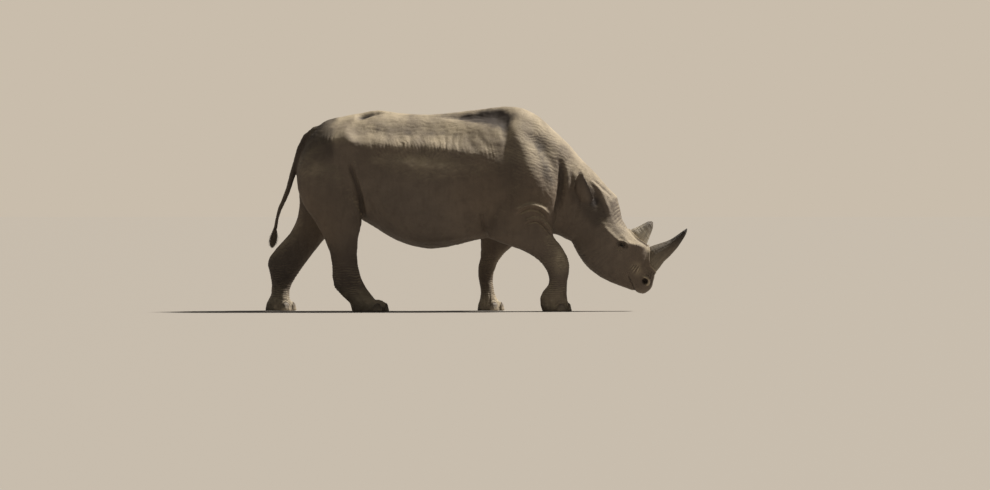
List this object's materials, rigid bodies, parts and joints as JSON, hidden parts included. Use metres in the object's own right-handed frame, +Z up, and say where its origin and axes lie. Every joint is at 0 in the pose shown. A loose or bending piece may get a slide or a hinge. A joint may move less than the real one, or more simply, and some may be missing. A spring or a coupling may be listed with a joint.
{
  "type": "black rhinoceros model",
  "caption": "Still life-size black rhinoceros walking with its head lowered, two horns on the nose, ears forward and tail hanging, standing on its own feet.",
  "frame": {"origin": "middle of the bounding box at floor level, between the feet", "axes": "+X runs from the tail to the muzzle, +Y to the animal's left, +Z up"},
  "size_m": [3.157, 0.732, 1.5275],
  "materials": {
    "skin": "thick bare hide, dry and matt, grey-brown under pale dust, cracked into fine cells and folded",
    "horn": "keratin horn, fibrous along its length, worn smoother and darker at the tip",
    "nail": "dull horny toenail, scuffed and dusty at the edge",
    "eye": "wet dark brown eyeball",
    "hair": "coarse dark bristles of the tail, ear rims and lashes"
  },
  "bodies": {
    "root": {"trunk": "skin", "neck": "skin", "head": "skin", "lower_jaw": "skin", "leg_hind_right_upper": "skin", "leg_hind_right_lower": "skin", "leg_hind_right_foot": "skin", "leg_hind_left_upper": "skin", "leg_hind_left_lower": "skin", "leg_hind_left_foot": "skin", "leg_fore_right_upper": "skin", "leg_fore_right_lower": "skin", "leg_fore_right_foot": "skin", "leg_fore_left_upper": "skin", "leg_fore_left_lower": "skin", "leg_fore_left_foot": "skin", "nail_hind_right_outer": "nail", "nail_hind_right_middle": "nail", "nail_hind_right_inner": "nail", "nail_hind_left_outer": "nail", "nail_hind_left_middle": "nail", "nail_hind_left_inner": "nail", "nail_fore_right_outer": "nail", "nail_fore_right_middle": "nail", "nail_fore_right_inner": "nail", "nail_fore_left_outer": "nail", "nail_fore_left_middle": "nail", "nail_fore_left_inner": "nail", "eye_right": "eye", "eye_left": "eye", "ear_right": "skin", "ear_left": "skin", "horn_front": "horn", "horn_rear": "horn", "tail": "skin", "tail_tuft": "hair"}
  },
  "joints": []
}
